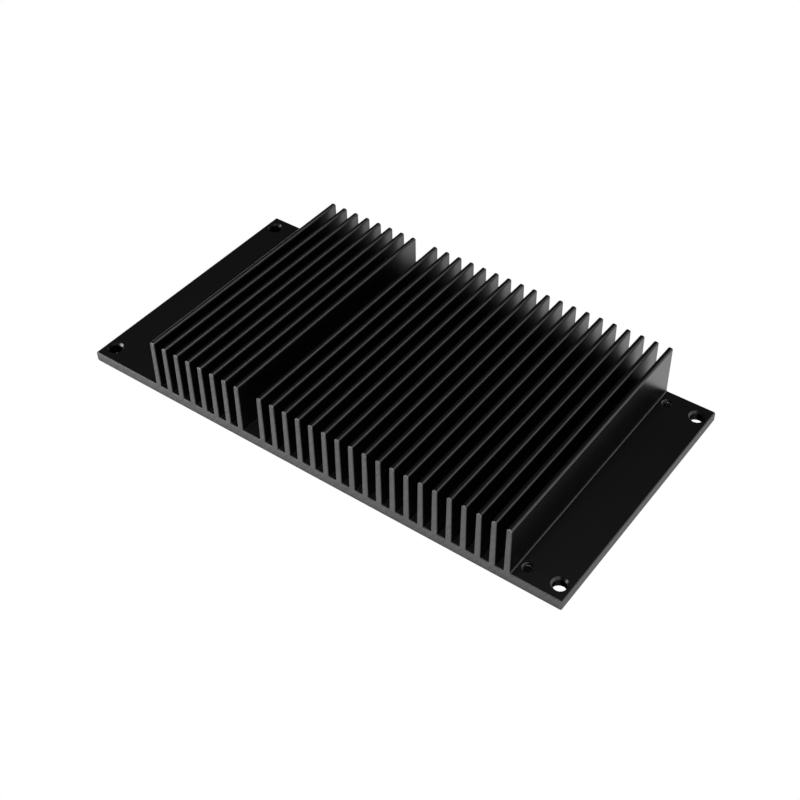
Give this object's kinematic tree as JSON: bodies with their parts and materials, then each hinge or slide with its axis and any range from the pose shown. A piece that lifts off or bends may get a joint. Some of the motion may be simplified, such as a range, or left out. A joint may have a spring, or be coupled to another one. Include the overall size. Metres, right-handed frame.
{
  "type": "plate fin heat sink",
  "caption": "Black anodised aluminium extrusion: a flat plate with straight parallel fins, one wide channel between them, two bare flanges, corner screw holes and two tapped holes.",
  "frame": {"origin": "centre of the plate's underside", "axes": "+X across the fins, from the wide flange to the narrow one; +Y along the fins; +Z from the plate to the fin tips"},
  "size_m": [0.125, 0.0644, 0.015],
  "materials": {
    "anodised_aluminium": "satin black anodised"
  },
  "bodies": {
    "root": {"heat_sink": "anodised_aluminium"}
  },
  "joints": []
}
